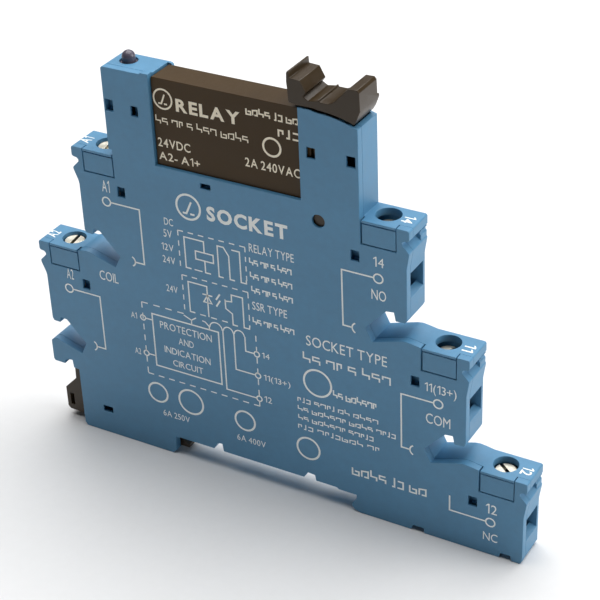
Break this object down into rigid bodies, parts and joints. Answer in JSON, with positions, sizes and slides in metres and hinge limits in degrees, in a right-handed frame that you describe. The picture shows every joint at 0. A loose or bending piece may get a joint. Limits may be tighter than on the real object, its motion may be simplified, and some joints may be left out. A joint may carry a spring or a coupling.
{
  "type": "plug-in relay module",
  "caption": "Slim rail-mounted relay module: stepped two-shell socket with screw terminals, plug-in solid-state relay, ejector lever, smoked indicator and sprung rail foot.",
  "frame": {"origin": "centre of the middle pad that rests on the rail's front face, halfway through the module's thickness", "axes": "+X along the module from the control terminals to the load terminals, +Y along the rail towards the far side, +Z away from the rail"},
  "size_m": [0.0905, 0.0062, 0.0778],
  "materials": {
    "blue_plastic": "fine moulded grain, satin",
    "relay_plastic": "fine moulded grain, satin",
    "black_plastic": "moulded, satin",
    "smoked_lens": "smoked translucent lens",
    "board": "glass-fibre board with solder mask",
    "black_epoxy": "moulded component body",
    "white_epoxy": "moulded component body",
    "amber_film": "dipped film capacitor",
    "resistor_body": "lacquered body",
    "contact_brass": "stamped copper alloy",
    "zinc_steel": "zinc-plated, satin",
    "screw_steel": "plated, satin, slightly yellow",
    "spring_steel": "drawn wire",
    "tinned_pins": "tinned"
  },
  "bodies": {
    "housing": {"housing_base": "blue_plastic", "housing_cover": "blue_plastic", "status_led": "smoked_lens", "circuit_board": "board", "board_rectifier": "black_epoxy", "board_capacitor": "amber_film", "board_suppressor": "black_epoxy", "board_resistors": "resistor_body", "strip_a1": "contact_brass", "strip_a2": "contact_brass", "strip_14": "contact_brass", "strip_11": "contact_brass", "strip_12": "contact_brass", "coil_contact_a1": "contact_brass", "coil_contact_a2": "contact_brass", "clamp_a1": "zinc_steel", "clamp_a2": "zinc_steel", "clamp_14": "zinc_steel", "clamp_11": "zinc_steel", "clamp_12": "zinc_steel", "foot_spring": "spring_steel"},
    "relay": {"relay_case": "relay_plastic", "relay_base": "relay_plastic", "relay_pins": "tinned_pins", "relay_board": "board", "relay_coupler": "white_epoxy", "relay_triac": "black_epoxy", "relay_resistors": "resistor_body"},
    "lever": {"ejector_lever": "black_plastic"},
    "foot": {"din_foot": "black_plastic"},
    "plate_body_a1": {"plate_a1": "zinc_steel"},
    "screw_body_a1": {"screw_a1": "screw_steel"},
    "plate_body_a2": {"plate_a2": "zinc_steel"},
    "screw_body_a2": {"screw_a2": "screw_steel"},
    "plate_body_14": {"plate_14": "zinc_steel"},
    "screw_body_14": {"screw_14": "screw_steel"},
    "plate_body_11": {"plate_11": "zinc_steel"},
    "screw_body_11": {"screw_11": "screw_steel"},
    "plate_body_12": {"plate_12": "zinc_steel"},
    "screw_body_12": {"screw_12": "screw_steel"}
  },
  "joints": [
    {"name": "lever_pivot", "type": "hinge", "parent": "housing", "child": "lever", "pos_m": [0.0121, 0, 0.0501], "axis": [0, 1, 0], "range_deg": [0, 15]},
    {"name": "relay_lift", "type": "slide", "parent": "housing", "child": "relay", "axis": [0, 0, 1], "range_m": [0, 0.0018]},
    {"name": "foot_slide", "type": "slide", "parent": "housing", "child": "foot", "axis": [-1, 0, 0], "range_m": [0, 0.0025], "stiffness_N_per_m": 400, "springref_m": -0.002, "deforming": ["foot_spring"]},
    {"name": "plate_slide_a1", "type": "slide", "parent": "housing", "child": "plate_body_a1", "axis": [0, 0, 1], "range_m": [-0.002, 0]},
    {"name": "screw_turn_a1", "type": "hinge", "parent": "plate_body_a1", "child": "screw_body_a1", "pos_m": [-0.0285, 0.00038, 0.05245], "axis": [0, 0, 1], "range_deg": [-1598, 0]},
    {"name": "plate_slide_a2", "type": "slide", "parent": "housing", "child": "plate_body_a2", "axis": [0, 0, 1], "range_m": [-0.002, 0]},
    {"name": "screw_turn_a2", "type": "hinge", "parent": "plate_body_a2", "child": "screw_body_a2", "pos_m": [-0.0378, 0.00038, 0.03255], "axis": [0, 0, 1], "range_deg": [-1598, 0]},
    {"name": "plate_slide_14", "type": "slide", "parent": "housing", "child": "plate_body_14", "axis": [0, 0, 1], "range_m": [-0.00075, 0.00125]},
    {"name": "screw_turn_14", "type": "hinge", "parent": "plate_body_14", "child": "screw_body_14", "pos_m": [0.02235, 0.00038, 0.05032], "axis": [0, 0, 1], "range_deg": [-599, 999]},
    {"name": "plate_slide_11", "type": "slide", "parent": "housing", "child": "plate_body_11", "axis": [0, 0, 1], "range_m": [-0.00075, 0.00125]},
    {"name": "screw_turn_11", "type": "hinge", "parent": "plate_body_11", "child": "screw_body_11", "pos_m": [0.0324, 0.00038, 0.03042], "axis": [0, 0, 1], "range_deg": [-599, 999]},
    {"name": "plate_slide_12", "type": "slide", "parent": "housing", "child": "plate_body_12", "axis": [0, 0, 1], "range_m": [-0.0014, 0.0006]},
    {"name": "screw_turn_12", "type": "hinge", "parent": "plate_body_12", "child": "screw_body_12", "pos_m": [0.04245, 0.00038, 0.01117], "axis": [0, 0, 1], "range_deg": [-1118, 479]}
  ],
  "couplings": [
    {"joint": "relay_lift", "follows": "lever_pivot", "m_per_rad": 0.0068},
    {"joint": "plate_slide_a1", "follows": "screw_turn_a1", "m_per_rad": 0.00007162},
    {"joint": "plate_slide_a2", "follows": "screw_turn_a2", "m_per_rad": 0.00007162},
    {"joint": "plate_slide_14", "follows": "screw_turn_14", "m_per_rad": 0.00007162},
    {"joint": "plate_slide_11", "follows": "screw_turn_11", "m_per_rad": 0.00007162},
    {"joint": "plate_slide_12", "follows": "screw_turn_12", "m_per_rad": 0.00007162}
  ]
}
